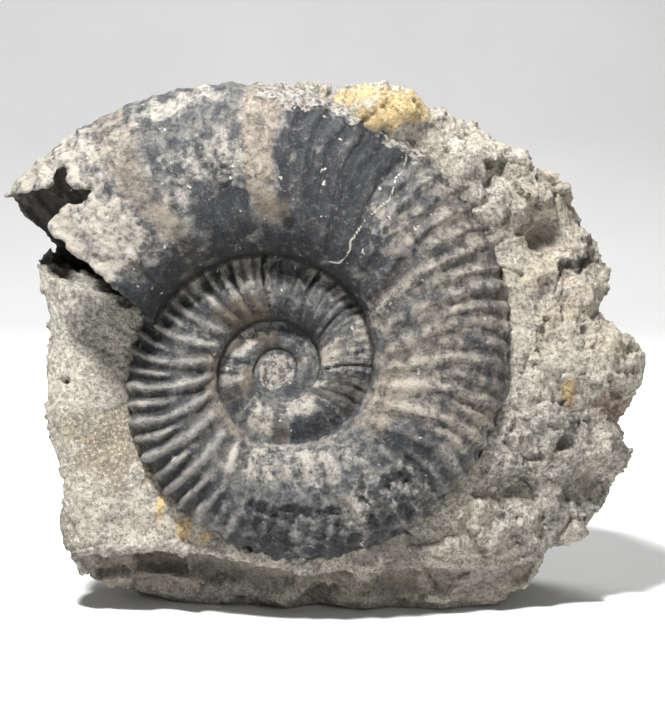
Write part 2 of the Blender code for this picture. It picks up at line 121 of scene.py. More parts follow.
def loft(name, rings):
    """A closed body through rings of points on the coil's plane, capped at both ends."""
    mesh = bpy.data.meshes.new(name)
    around = len(rings[0])
    points = [point for ring in rings for point in ring]
    faces = []
    for row in range(len(rings) - 1):
        for place in range(around):
            following = (place + 1) % around
            start, beyond = row * around, (row + 1) * around
            faces.append((start + place, start + following, beyond + following, beyond + place))
    faces.append(tuple(range(around))[::-1])
    faces.append(tuple(range(len(points) - around, len(points))))
    mesh.from_pydata(points, [], faces)
    piece = bpy.data.objects.new(name, mesh)
    bpy.context.scene.collection.objects.link(piece)
    work_on(piece)
    bpy.ops.object.mode_set(mode="EDIT")
    bpy.ops.mesh.select_all(action="SELECT")
    bpy.ops.mesh.normals_make_consistent(inside=False)
    bpy.ops.object.mode_set(mode="OBJECT")
    return piece


def apply_modifier(piece, kind, **settings):
    work_on(piece)
    modifier = piece.modifiers.new(kind.lower(), kind)
    for setting, value in settings.items():
        setattr(modifier, setting, value)
    bpy.ops.object.modifier_apply(modifier=modifier.name)


def even_mesh(piece, size):
    """One closed skin of even faces about this size."""
    apply_modifier(piece, "REMESH", mode="VOXEL", voxel_size=size, adaptivity=0.0)


def lighten(piece, limit, hidden):
    """Merges faces until this many triangles are left, the hidden ones first."""
    group = piece.vertex_groups.new(name="hidden")
    for number, share in enumerate(hidden):
        group.add([number], float(share), "REPLACE")
    for group_name in ("hidden", ""):
        count = sum(len(face.vertices) - 2 for face in piece.data.polygons)
        if count > limit:
            apply_modifier(piece, "DECIMATE", ratio=limit / count, vertex_group=group_name)
    piece.vertex_groups.clear()


def cut_away(piece, cutter):
    apply_modifier(piece, "BOOLEAN", operation="DIFFERENCE", solver="EXACT", object=cutter)
    bpy.data.objects.remove(cutter)


def prism(name, outline_px, low, high, seen_at=0.0):
    outline = [on_face(*point, seen_at) for point in outline_px]
    return loft(name, [[(right, up, height) for right, up in outline] for height in (low, high)])


def positions(piece):
    flat = np.empty(len(piece.data.vertices) * 3)
    piece.data.vertices.foreach_get("co", flat)
    return flat.reshape(-1, 3)


def directions(piece):
    flat = np.empty(len(piece.data.vertices) * 3)
    piece.data.vertices.foreach_get("normal", flat)
    return flat.reshape(-1, 3)


def move_points(piece, points):
    piece.data.vertices.foreach_set("co", points.ravel())
    piece.data.update()


def smooth_step(low, high, values):
    share = np.clip((values - low) / (high - low), 0, 1)
    return share * share * (3 - 2 * share)


def lumps(points, size, seed, octaves=3):
    """Smooth noise from about -1 to 1 at every point, its lumps about this size in metres."""
    shift = Vector((seed * 1.7, seed * 2.3, seed * 3.1))
    scaled = [Vector(point) / size + shift for point in points]
    return np.array([noise.fractal(place, 0.8, 2.1, octaves) for place in scaled])


def keep_mask(piece, name, values):
    """Keeps a number from 0 to 1 for every point, for the materials to read."""
    kept = piece.data.attributes.new(name, "FLOAT", "POINT")
    kept.data.foreach_set("value", np.clip(values, 0, 1).astype(np.float32))


def venter_radius(angle):
    return VENTER_RADIUS_LEFT * GROWTH_PER_TURN ** ((angle - 180) / 360)


def outer_rise(share):
    return math.sqrt(max(0.0, 1 - ((share - CREST_SHARE) / (1 - CREST_SHARE)) ** FLANK_POWER))


SEAM_RISE = outer_rise(OVERLAP_SHARE) / GROWTH_PER_TURN


def rise(share):
    """Height of the flank over the coil's plane as a share of its greatest."""
    if share >= CREST_SHARE:
        return outer_rise(share)
    back = min(1.0, (CREST_SHARE - share) / (CREST_SHARE - SEAM_SHARE))
    return SEAM_RISE + (1 - SEAM_RISE) * max(0.0, 1 - back**WALL_POWER) ** 0.6


front_shares = [SEAM_SHARE, 0.3925, 0.397, 0.405, 0.42, 0.44, 0.47, 0.51, 0.55]
front_shares += [0.60 + 0.03 * step for step in range(11)] + [0.925, 0.945, 0.965, 0.98, 0.992, 1.0]
whorl_section = [(share, HALF_BREADTH_SHARE * rise(share)) for share in front_shares]
whorl_section += [
    (share, -BACK_BREADTH_SHARE * rise(max(share, CREST_SHARE)))
    for share in (0.99, 0.97, 0.94, 0.90, 0.84, 0.76, 0.66, 0.50)
]
whorl_section += [(0.36, -0.10), (0.35, 0.0)]


def ring_at(angle, outline):
    """A section's outline, of shares of the radius, as points at a growth angle."""
    radius = venter_radius(angle)
    emerged = float(smooth_step(FIRST_ANGLE, FULL_RELIEF_ANGLE, np.array(angle)))
    turn = math.radians(angle)
    ring = []
    for share, height in outline:
        lifted = CORE_HEIGHT + (height * radius - CORE_HEIGHT) * emerged if height > 0 else height * radius
        ring.append((share * radius * math.cos(turn), share * radius * math.sin(turn), lifted))
    return ring


deselect_all()
growth_angles = range(FIRST_ANGLE, MOUTH_ANGLE + 1, RING_STEP)
ammonite = loft("ammonite_shell", [ring_at(angle, whorl_section) for angle in growth_angles])

# The core that fills the smallest turns
core_middle = CORE_HEIGHT - CORE_DEPTH / 2
bpy.ops.mesh.primitive_cylinder_add(
    vertices=64, radius=CORE_RADIUS, depth=CORE_DEPTH, location=(0, 0, core_middle)
)
core = bpy.context.object
bpy.ops.object.transform_apply(location=True, rotation=False, scale=False)
deselect_all()
core.select_set(True)
ammonite.select_set(True)
bpy.context.view_layer.objects.active = ammonite
bpy.ops.object.join()
even_mesh(ammonite, JOINING_FACE_SIZE)

# The hollow of the body chamber, then the breaks in its flank and rear, and the end of the shell
CHAMBER_ANGLES = range(486, 526, 3)
CHAMBER_SHARES = [0.52, 0.57, 0.64, 0.74, 0.84, 0.92, 0.965]
CHAMBER_END_SIZE = 0.12
CHAMBER_END_ROUNDING = 12


def chamber_ring(angle):
    """The outline of the hollow at a growth angle, rounded off at its inner end."""
    radius = venter_radius(angle)
    wall = SHELL_WALL / radius
    front = [(share, HALF_BREADTH_SHARE * rise(share) - wall) for share in CHAMBER_SHARES]
    back = [(share, wall - BACK_BREADTH_SHARE * rise(max(share, CREST_SHARE))) for share in CHAMBER_SHARES]
    outline = front + back[::-1]
    middle = np.mean(outline, axis=0)
    narrowed = math.sqrt(min(1.0, CHAMBER_END_SIZE + (angle - CHAMBER_ANGLES[0]) / CHAMBER_END_ROUNDING))
    turn = math.radians(angle)
    points = middle + (np.array(outline) - middle) * narrowed
    return [
        (out * radius * math.cos(turn), out * radius * math.sin(turn), up * radius)
        for out, up in points
    ]


FLANK_BREAK_PX = [
    (63, 162), (67, 166), (69, 172), (69, 179), (71, 185), (76, 188), (84, 190), (94, 190), (92, 198),
    (85, 204), (74, 207), (62, 211), (54, 219), (51, 229), (56, 237), (66, 241), (70, 247), (76, 255),
    (85, 262), (98, 270), (107, 276), (118, 290), (-60, 330), (-60, 193), (16, 193), (28, 191), (38, 190),
    (48, 186), (53, 179), (57, 169),
]
REAR_BREAK_PX = [
    (12, 194), (14, 204), (20, 214), (30, 224), (43, 236), (46, 246), (-60, 300), (-60, 150), (6, 150),
]
STONE_BELOW_MOUTH_PX = [
    (46, 240), (50, 256), (57, 264), (74, 270), (88, 276), (106, 281), (118, 286), (146, 313), (138, 322),
    (124, 350), (90, 420), (-60, 420), (-60, 240),
]
CLEAR_OF_COIL = 0.080
FLANK_BREAK_HEIGHT = 0.026
REAR_BREAK_TOP = 0.001
SHELL_END_HEIGHT = 0.004
BURIED_HEIGHTS = (-0.014, -0.006)
FREE_END_RIGHT = -0.055

cut_away(ammonite, loft("chamber", [chamber_ring(angle) for angle in CHAMBER_ANGLES]))
cut_away(ammonite, prism("flank_break", FLANK_BREAK_PX, 0.0, CLEAR_OF_COIL, FLANK_BREAK_HEIGHT))
cut_away(ammonite, prism("rear_break", REAR_BREAK_PX, -CLEAR_OF_COIL, REAR_BREAK_TOP))
cut_away(ammonite, prism("shell_end", STONE_BELOW_MOUTH_PX, -CLEAR_OF_COIL, CLEAR_OF_COIL, SHELL_END_HEIGHT))
even_mesh(ammonite, SHELL_FACE_SIZE)
apply_modifier(ammonite, "SMOOTH", factor=0.5, iterations=3)

# Faces buried in the stone are merged before those in sight; the free end at the left keeps its own
here = positions(ammonite)
buried = (1 - smooth_step(*BURIED_HEIGHTS, here[:, 2])) * (here[:, 0] > FREE_END_RIGHT)
lighten(ammonite, MOST_TRIANGLES, buried)


def coil_coordinates(points):
    """Growth angle and share of the radius of the turn that shows at each point."""
    out = np.hypot(points[:, 0], points[:, 1])
    angle = np.degrees(np.arctan2(points[:, 1], points[:, 0])) % 360 - 720
    share = out / venter_radius(angle)
    for _ in range(4):
        later = (share > OVERLAP_SHARE) & (angle + 360 <= MOUTH_ANGLE + RING_STEP)
        angle = np.where(later, angle + 360, angle)
        share = out / venter_radius(angle)
    return angle, share


def read_list(pairs, values):
    """The second numbers of a list of pairs, read off between the first."""
    return np.interp(values, [pair[0] for pair in pairs], [pair[1] for pair in pairs])


# By growth angle: the ribs counted, their strength, and halt grooves with half-width and depth share
RIB_NUMBERS = [(-480, 0), (-60, 42), (104, 58), (158, 62), (240, 68), (330, 76), (420, 85), (519, 95)]
RIB_STRENGTH = [
    (-340, 0.10), (-120, 0.30), (-40, 0.40), (60, 0.50), (130, 0.85), (180, 1.20), (235, 1.00), (255, 0.40),
    (318, 0.40), (335, 0.55), (380, 0.48), (415, 0.40), (450, 0.30), (480, 0.20), (510, 0.25),
]
HALT_GROOVES = [
    (-9, 1.2, 0.024), (0, 1.1, 0.040), (-17, 1.3, 0.020), (-26, 1.4, 0.018), (-35, 1.3, 0.014),
    (34, 1.2, 0.018), (39, 1.1, 0.022), (46, 1.0, 0.010), (55, 0.9, 0.010), (66, 1.1, 0.022),
    (73, 0.9, 0.010), (84, 0.8, 0.008), (96, 0.9, 0.024), (113, 0.8, 0.014), (126, 0.8, 0.012),
    (391, 0.8, 0.004), (456, 0.7, 0.008), (-180, 1.0, 0.010), (-152, 1.5, 0.010), (-134, 1.4, 0.014),
    (-60, 1.0, 0.006),
]
RIB_HEIGHT_SHARE = 0.020
RIB_LEAN = 4.0
RIBS_RISE = (0.41, 0.52)
RIBS_FORK = (0.60, 0.80)
GROOVES_RISE = (0.40, 0.46)
GROWTH_LINE_STEP = 1.7
GROWTH_LINE_SHARE = 0.0014


def photo_pixels(points):
    """The pixel of the photograph, across and down, at which each point on the coil's plane shows."""
    nearer = 1 - points[:, 2] / VIEW_DISTANCE
    across = VIEW_CENTRE_PX[0] + (CENTRE_PX[0] + points[:, 0] / PIXEL - VIEW_CENTRE_PX[0]) / nearer
    down = VIEW_CENTRE_PX[1] + (CENTRE_PX[1] - points[:, 1] / PIXEL - VIEW_CENTRE_PX[1]) / nearer
    return across, down


face_points = positions(ammonite)
angle, share = coil_coordinates(face_points)
radius = venter_radius(angle)
x_px, y_px = photo_pixels(face_points)
wander = lumps(face_points, 0.016, 4, 2)
blotch = lumps(face_points, 0.020, 41, 4)
fleck = lumps(face_points, 0.006, 43, 3)
in_front = smooth_step(-0.004, 0.004, face_points[:, 2])
lean = RIB_LEAN * np.sin(math.pi * np.clip((share - 0.4) / 0.6, 0, 1))
straight = angle - lean + 1.2 * blotch


def sharpened(wave):
    """Narrow crests and broad furrows in place of an even wave."""
    return 2 * ((1 + wave) / 2) ** 1.5 - 0.8


strength = read_list(RIB_STRENGTH, angle) * (0.85 + 0.35 * wander)
rib_turn = 2 * math.pi * read_list(RIB_NUMBERS, angle - lean + 0.8 * wander)
forked = smooth_step(*RIBS_FORK, share)
main_ribs = sharpened(np.cos(rib_turn))
side_ribs = sharpened(np.cos(2 * rib_turn + 0.5 * wander))
on_flank = smooth_step(*RIBS_RISE, share)
ribs = ((1 - forked) * main_ribs + forked * (0.85 * side_ribs + 0.25 * main_ribs)) * on_flank
relief = RIB_HEIGHT_SHARE * strength * ribs
growth_lines = np.sin(math.pi * 2 * (angle - lean) / GROWTH_LINE_STEP + 2 * wander)
off_rough_turn = smooth_step(30, 90, np.abs(angle - 285))
relief += GROWTH_LINE_SHARE * growth_lines * on_flank * off_rough_turn
for at, half_width, depth in HALT_GROOVES:
    groove = np.exp(-(((angle - lean - at) / half_width) ** 2))
    relief -= depth * groove * smooth_step(*GROOVES_RISE, share)
lift = relief * radius


def band(values, low, high, soft):
    """1 between low and high, 0 outside, with soft edges."""
    return smooth_step(low - soft, low + soft, values) * (1 - smooth_step(high - soft, high + soft, values))


PATCH_EDGE = 0.06


def patches(entries):
    """Zones of the shell: from and to a growth angle, its softness, from and to a share, amount."""
    total = np.zeros(len(angle))
    for low, high, soft, inner, outer, amount in entries:
        covered = band(straight, low, high, soft) * band(share + 0.03 * blotch, inner, outer, PATCH_EDGE)
        total = np.maximum(total, amount * covered)
    return total


# Rough and flaked zones, each lump by its height, size and seed
ROUGH_LUMPS = [(0.00045, 0.0032, 9), (0.00090, 0.0085, 12)]
ROUGH_ZONES = [
    (486, 525, 5, 0.50, 1.2, 1.1), (252, 322, 10, 0.64, 1.2, 2.4), (456, 482, 5, 0.55, 0.90, 0.7),
    (340, 400, 12, 0.40, 0.85, 0.5), (150, 250, 12, 0.40, 0.60, 0.5), (-240, -60, 10, 0.35, 1.2, 0.5),
    (256, 330, 8, 0.36, 0.60, 0.35),
]
rough_zone = 0.25 + patches(ROUGH_ZONES)
for height, size, seed in ROUGH_LUMPS:
    lift += height * rough_zone * lumps(face_points, size, seed, 3)

# Flakes gone, lumps of stone left on the shell and a ring scar: a pixel, its reach in pixels, height
SCARS = [
    (360, 470, 9, 0.0006), (345, 500, 18, 0.0014), (362, 520, 14, 0.0014), (330, 515, 9, -0.0012),
    (310, 505, 8, 0.0011), (295, 515, 7, -0.0010), (318, 490, 6, 0.0010), (380, 492, 16, 0.0018),
    (392, 478, 7, -0.0015), (372, 505, 8, -0.0012), (408, 470, 12, -0.0008), (375, 440, 16, -0.0007),
    (222, 208, 20, -0.0006), (110, 230, 24, 0.0008), (96, 215, 12, -0.0008), (150, 130, 22, 0.0008),
    (285, 212, 8, 0.0012), (278, 236, 7, 0.0010), (292, 226, 6, -0.0010), (472, 366, 6, 0.0013),
    (455, 322, 4, 0.0011), (450, 340, 4, 0.0010), (392, 352, 5, 0.0011), (478, 242, 6, 0.0012),
    (430, 305, 12, 0.0008), (440, 300, 5, -0.0010), (410, 250, 8, 0.0007), (395, 215, 7, 0.0006),
]
SMOOTH_SCAR_PX = 7
RING_SCAR_PX = (223, 177)
RING_SCAR_RADIUS_PX = 9
RING_SCAR_WIDTH_PX = 1.6
RING_SCAR_DEPTH = 0.0011


def spot(across_px, down_px, reach_px, xs, ys):
    """A soft round mound, 1 in its middle."""
    return np.exp(-((xs - across_px) ** 2 + (ys - down_px) ** 2) / reach_px**2)


for across, down, reach, height in SCARS:
    ragged = 1 + 0.8 * fleck if reach > SMOOTH_SCAR_PX else 1
    lift += height * spot(across, down, reach, x_px, y_px) * in_front * ragged
from_ring = np.hypot(x_px - RING_SCAR_PX[0], y_px - RING_SCAR_PX[1]) - RING_SCAR_RADIUS_PX - 2 * fleck
ring_scar = np.exp(-((from_ring / RING_SCAR_WIDTH_PX) ** 2)) * in_front
lift -= RING_SCAR_DEPTH * ring_scar

# The calcite vein across the last turn
VEIN_WIDTH_PX = 1.3
VEIN_HEIGHT = 0.0005
VEIN_PX = [
    (407, 158), (403, 172), (396, 178), (393, 190), (390, 200), (380, 206), (375, 212), (365, 220),
    (358, 232), (352, 240), (350, 250), (345, 257), (340, 262), (322, 261),
]


def line_distance(xs, ys, line):
    """How many pixels each point lies from a broken line."""
    nearest = np.full(len(xs), 1e9)
    for (x0, y0), (x1, y1) in zip(line, line[1:]):
        length = (x1 - x0) ** 2 + (y1 - y0) ** 2
        along = np.clip(((xs - x0) * (x1 - x0) + (ys - y0) * (y1 - y0)) / length, 0, 1)
        nearest = np.minimum(nearest, np.hypot(xs - x0 - along * (x1 - x0), ys - y0 - along * (y1 - y0)))
    return nearest


vein_distance = line_distance(x_px + 1.5 * fleck, y_px + 1.5 * wander, VEIN_PX)
vein = np.exp(-((vein_distance / VEIN_WIDTH_PX) ** 2)) * in_front * (angle > 300) * (0.75 + 0.5 * fleck)
lift += VEIN_HEIGHT * vein

# Seams between the turns, stone left over the rim at the top, and the grey plug in the middle
SEAM_WIDTH = 0.0010
FULL_SEAM_RADIUS = 0.060
CRUST_ANGLES = (414, 453)
CRUST_SHARE = 0.920
PLUG_CENTRE = (-0.0018, -0.0011)
PLUG_RADII = (0.0070, 0.0098)
seam_width = SEAM_WIDTH * np.clip(radius / FULL_SEAM_RADIUS, 0.45, 1)
inner_seam = np.exp(-(((share - SEAM_SHARE) * radius / seam_width) ** 2))
outer_seam = np.exp(-(((share - OVERLAP_SHARE) * radius / seam_width) ** 2)) * (angle < LAST_TURN_ANGLE)
seam = np.maximum(inner_seam, outer_seam) * in_front
lift -= seam_width * 0.9 * seam
ragged_share = share - CRUST_SHARE + 0.030 * fleck + 0.025 * blotch
crust = band(straight, *CRUST_ANGLES, 2) * smooth_step(-0.01, 0.01, ragged_share)
lift += crust * (0.0009 + 0.0004 * fleck)
from_plug = np.hypot(face_points[:, 0] - PLUG_CENTRE[0], face_points[:, 1] - PLUG_CENTRE[1])
plug = 1 - smooth_step(*PLUG_RADII, from_plug + 0.0012 * fleck)
lift += 0.0004 * plug * fleck

# Where the shell is dark, worn pale, tan or brown. The dark zones at low shares on the last turn at the top
# are partly painted shade on its inner wall
DARK_AND_WALL_SHADE_ZONES = [
    (417, 446.5, 1.2, 0.40, 0.96, 1.00), (446, 456, 2, 0.38, 0.52, 0.90), (456, 478, 5, 0.38, 0.60, 0.90),
    (456, 476, 3, 0.74, 1.00, 0.30), (477, 525, 6, 0.36, 0.52, 0.85), (508, 525, 3, 0.36, 0.60, 0.80),
    (392, 419, 5, 0.40, 0.66, 0.90), (368, 384, 5, 0.55, 0.75, 0.40), (345, 360, 4, 0.42, 0.60, 0.55),
    (330, 395, 12, 0.90, 1.10, 0.45), (318, 333, 3, 0.52, 0.82, 0.80), (250, 330, 8, 0.68, 1.20, 0.70),
    (155, 250, 8, 0.72, 1.20, 0.60), (110, 165, 8, 0.38, 0.95, 0.35), (28, 95, 8, 0.38, 0.60, 0.55),
    (4, 60, 8, 0.60, 0.95, 0.35), (75, 92, 6, 0.66, 0.85, 0.40), (-32, -1, 4, 0.55, 0.95, 0.50),
    (-85, -30, 8, 0.64, 1.00, 1.00), (-50, -35, 4, 0.40, 0.60, 0.50), (-165, -140, 5, 0.62, 1.00, 0.90),
    (-182, -178, 1, 0.40, 0.95, 0.80), (-203, -190, 4, 0.45, 0.75, 0.90), (-320, -275, 8, 0.62, 1.00, 0.80),
    # Painted shade on the inner wall of the last turn at the top
    (390, 505, 8, 0.30, 0.48, 0.85),
]
PALE_ZONES = [
    (245, 315, 14, 0.36, 0.62, 0.50), (288, 301, 5, 0.68, 0.88, 0.75), (304, 322, 5, 0.66, 1.00, 0.55),
    (330, 414, 12, 0.42, 1.05, 0.32), (390.6, 391.6, 0.3, 0.42, 0.90, 0.60), (455, 480, 5, 0.60, 0.80, 0.45),
    (462, 484, 8, 0.88, 1.20, 0.50), (488, 525, 5, 0.55, 1.20, 0.80), (148, 160, 4, 0.42, 0.75, 0.40),
    (3, 25, 2, 0.38, 0.62, 0.85), (3, 25, 4, 0.60, 0.95, 0.35), (-5, 0, 0.8, 0.42, 0.90, 0.70),
    (-26, -14, 3, 0.38, 0.52, 0.90), (44, 75, 6, 0.66, 0.95, 0.40), (95, 140, 8, 0.62, 0.95, 0.45),
    (96, 97.4, 0.4, 0.42, 0.92, 0.60), (-240, -200, 8, 0.58, 1.00, 0.90), (-185, -165, 5, 0.55, 0.90, 0.60),
    (-137, -133, 1, 0.45, 0.90, 0.90), (-128, -100, 6, 0.50, 0.85, 0.90), (-95, -40, 10, 0.36, 0.60, 0.70),
    (447, 456, 1.5, 0.60, 1.00, 0.45),
]
TAN_ZONES = [
    (447, 456, 1.2, 0.52, 1.00, 0.75), (478, 489, 4, 0.46, 1.00, 0.65), (489, 515, 8, 0.50, 1.10, 0.45),
    (372, 402, 8, 0.42, 0.66, 0.50), (320, 372, 8, 0.40, 0.60, 0.65), (330, 412, 12, 0.55, 1.00, 0.55),
    (342, 356, 5, 0.80, 1.10, 0.50), (290, 330, 8, 0.88, 1.10, 0.40), (160, 250, 10, 0.36, 0.50, 0.60),
    (170, 235, 10, 0.50, 0.85, 0.30), (95, 140, 10, 0.38, 0.66, 0.60), (3, 26, 3, 0.38, 0.66, 0.50),
    (-60, 0, 10, 0.60, 0.92, 0.35), (-190, -150, 10, 0.38, 0.62, 0.70),
]
BROWN_ZONES = [
    (442, 455, 2, 0.50, 0.60, 0.90), (480, 500, 5, 0.40, 0.50, 0.60), (395, 505, 12, 0.34, 0.45, 0.45),
    (205, 250, 12, 0.50, 0.90, 0.30), (330, 372, 10, 0.55, 0.85, 0.30), (92, 140, 8, 0.36, 0.64, 0.90),
    (20, 95, 12, 0.36, 0.52, 0.50), (-40, 10, 8, 0.70, 0.95, 0.40), (-38, -8, 5, 0.45, 0.95, 0.60),
    (3, 25, 3, 0.55, 0.95, 0.45), (-100, -85, 5, 0.62, 1.00, 0.80), (-170, -140, 8, 0.36, 1.00, 0.70),
    (-275, -235, 8, 0.36, 0.72, 1.00), (-345, -320, 8, 0.36, 0.60, 0.80),
]
dark_and_wall_shade = patches(DARK_AND_WALL_SHADE_ZONES)
pale = patches(PALE_ZONES)
dark_and_wall_shade = smooth_step(0.15, 0.95, dark_and_wall_shade * (1 + 0.5 * fleck) - 0.45 * blotch) * (1 - 0.8 * pale)
# Painted shade in the furrows between the ribs, deeper where the ribs are stronger
painted_groove_shade = np.clip(-ribs, 0, 1) * np.clip(strength, 0, 1)
CREST_WEAR = [
    (-200, 0.5), (20, 0.5), (120, 0.7), (155, 1.0), (240, 1.0), (262, 0.5), (330, 0.8), (450, 0.6),
]
crest = smooth_step(-0.4, 0.9, ribs) * np.clip(strength, 0, 1) * read_list(CREST_WEAR, angle)
worn = 0.28 * crest + 0.75 * pale + 0.30 * smooth_step(0.0, 0.8, blotch + 0.5 * fleck)
worn -= 0.35 * dark_and_wall_shade
halts = sum(
    np.exp(-(((angle - lean - at) / (0.8 * half_width)) ** 2)) * min(1, depth / 0.018)
    for at, half_width, depth in HALT_GROOVES
) * on_flank * (angle < LAST_TURN_ANGLE)

# Seams with their own dark line, darkened more above the middle by painted shade, and painted shade on the
# inner wall of the turn there; dusty seams below the middle; and painted shade in the hollow of the chamber
# and on the shell behind the coil's plane
shaded = smooth_step(-0.6, 0.5, np.sin(np.radians(angle)))
below_middle = band(angle % 360, 235, 344, 6) * (angle > -130)
dusty_seam = seam**3 * below_middle * smooth_step(-0.6, 0.6, fleck + blotch)
# Painted shade on the inner wall of the turns above the middle
painted_wall_shade = (1 - smooth_step(0.40, 0.47, share)) * in_front * shaded
skin_shares = np.linspace(SEAM_SHARE, 1, 60)
front_skin = HALF_BREADTH_SHARE * np.interp(share, skin_shares, [rise(at) for at in skin_shares])
under_skin = front_skin * radius - face_points[:, 2]
# Painted shade in the hollow of the chamber
chamber = smooth_step(0.0022, 0.0034, under_skin) * (angle > 484) * band(share, 0.50, 0.985, 0.005)
shell_masks = {
    "dark_and_wall_shade": dark_and_wall_shade,
    "worn": worn,
    "crest": crest,
    "tan": patches(TAN_ZONES),
    "brown": patches(BROWN_ZONES),
    "vein": vein + 0.5 * dusty_seam,
    "stone": np.maximum(crust, 0.85 * plug),
    # Painted shade in the furrows, the ring scar and the halt grooves
    "painted_groove_shade": painted_groove_shade + ring_scar + 0.9 * halts,
    # The seams' own dark line, with painted shade on the seams and the inner wall above the middle
    "seam": seam * (0.35 + 0.65 * shaded) + 0.5 * painted_wall_shade,
    # Painted shade in the hollow of the chamber and on the shell behind the coil's plane
    "inside": np.maximum(0.7 * (1 - in_front), chamber),
}
for name, values in shell_masks.items():
    keep_mask(ammonite, name, values)

# Streaks of colour run along the ribs, so their noise reads a place of its own
STREAK_STEP = 1.6
STREAK_LENGTHS = 7
rib_place = ammonite.data.attributes.new("rib_place", "FLOAT_VECTOR", "POINT")
along_ribs = np.stack([(angle - lean) / STREAK_STEP, share * STREAK_LENGTHS, 0 * share], 1)
rib_place.data.foreach_set("vector", along_ribs.astype(np.float32).ravel())

move_points(ammonite, face_points + directions(ammonite) * lift[:, None])
ammonite.data.transform(FACE_TO_WORLD)
ammonite.data.shade_smooth()


class Value:
    """A shader socket that takes part in plain arithmetic, each operation adding its Math node."""

    def __init__(self, tree, socket):
        self.tree = tree
        self.socket = socket

    def node(self, kind, settings=None, **inputs):
        """Adds a node of a type, sets it up, and gives its sockets values or links.

        A socket goes by its name, or by i and its number where names repeat.
        """
        made = self.tree.nodes.new(kind)
        for setting, value in (settings or {}).items():
            setattr(made, setting, value)
        for name, value in inputs.items():
            numbered = name[0] == "i" and name[1:].isdigit()
            socket = made.inputs[int(name[1:])] if numbered else made.inputs[name]
            if isinstance(value, Value):
                self.tree.links.new(value.socket, socket)
            elif isinstance(value, tuple):
                socket.default_value = (*value, 1)
            else:
                socket.default_value = value
        return made

    def out(self, made, name=0):
        return Value(self.tree, made.outputs[name])

    def maths(self, operation, first, second, clamp=False):
        settings = {"operation": operation, "use_clamp": clamp}
        return self.out(self.node("ShaderNodeMath", settings, i0=first, i1=second))

    def __add__(self, other):
        return self.maths("ADD", self, other)

    __radd__ = __add__

    def __sub__(self, other):
        return self.maths("SUBTRACT", self, other)

    def __rsub__(self, other):
        return self.maths("SUBTRACT", other, self)

    def __mul__(self, other):
        return self.maths("MULTIPLY", self, other)

    __rmul__ = __mul__

    def clamped(self):
        return self.maths("ADD", self, 0.0, clamp=True)

    def steep(self, low, high):
        """0 below low and 1 above high."""
        made = self.node("ShaderNodeMapRange", {"interpolation_type": "SMOOTHSTEP"}, Value=self)
        made.inputs["From Min"].default_value = low
        made.inputs["From Max"].default_value = high
        return self.out(made, "Result")

    def mixed(self, factor, first, second):
        """A blend of two colours."""
        made = self.node("ShaderNodeMix", {"data_type": "RGBA"}, i0=factor, i6=first, i7=second)
        return self.out(made, 2)


def start_material(name):
    """A new material, and its piece's own coordinates."""
    material = bpy.data.materials.new(name)
    material.use_nodes = True
    tree = material.node_tree
    coordinates = tree.nodes.new("ShaderNodeTexCoord")
    return material, Value(tree, coordinates.outputs["Object"])


def mask(place, name):
    """The number from 0 to 1 that keep_mask kept under this name."""
    made = place.node("ShaderNodeAttribute", {"attribute_name": name})
    return place.out(made, "Fac")


def speckle(place, scale, detail=4.0, roughness=0.6):
    """Smooth noise from 0 to 1, with about this many lumps to a metre."""
    made = place.node("ShaderNodeTexNoise", Vector=place, Scale=scale, Detail=detail, Roughness=roughness)
    return place.out(made)


def layered(colour, layers):
    """Lays colours over a first one, each with the mask that says how much of it shows."""
    for amount, shade in layers:
        colour = colour.mixed(amount, colour, shade)
    return colour


def finish_material(material, place, colour, roughness, heights):
    """Colour, roughness and a chain of bumps, each a height and its distance in metres."""
    tree = material.node_tree
    shader = tree.nodes["Principled BSDF"]
    tree.links.new(colour.socket, shader.inputs["Base Color"])
    tree.links.new(roughness.socket, shader.inputs["Roughness"])
    normal = None
    for height, distance, strength in heights:
        bump = place.node("ShaderNodeBump", Height=height, Distance=distance, Strength=strength)
        if normal is not None:
            tree.links.new(normal.socket, bump.inputs["Normal"])
        normal = place.out(bump)
    tree.links.new(normal.socket, shader.inputs["Normal"])


SLATE_DARK = (0.038, 0.041, 0.047)
SLATE_PALE = (0.165, 0.159, 0.147)
NEAR_BLACK = (0.012, 0.015, 0.020)
CREST_GREY = (0.265, 0.250, 0.224)
STREAK_BLUE = (0.120, 0.127, 0.140)
WORN_CREAM = (0.420, 0.388, 0.332)
WEATHERED_TAN = (0.320, 0.255, 0.185)
OLIVE_BROWN = (0.070, 0.050, 0.028)
GROOVE_SHADE_BLACK = (0.010, 0.009, 0.009)
GRAIN_BLACK = (0.020, 0.018, 0.016)
GRAIN_PALE = (0.400, 0.385, 0.350)
SAND_PALE = (0.500, 0.480, 0.430)
CHAMBER_PAINTED_SHADE = (0.030, 0.026, 0.022)
SEAM_AND_SHADE_BLACK = (0.014, 0.012, 0.010)
FLECK_WHITE = (0.62, 0.60, 0.55)
CALCITE = (0.55, 0.52, 0.46)
CRUST_DARK = (0.070, 0.066, 0.060)
CRUST_PALE = (0.360, 0.335, 0.295)
SHELL_SHEEN = 0.32

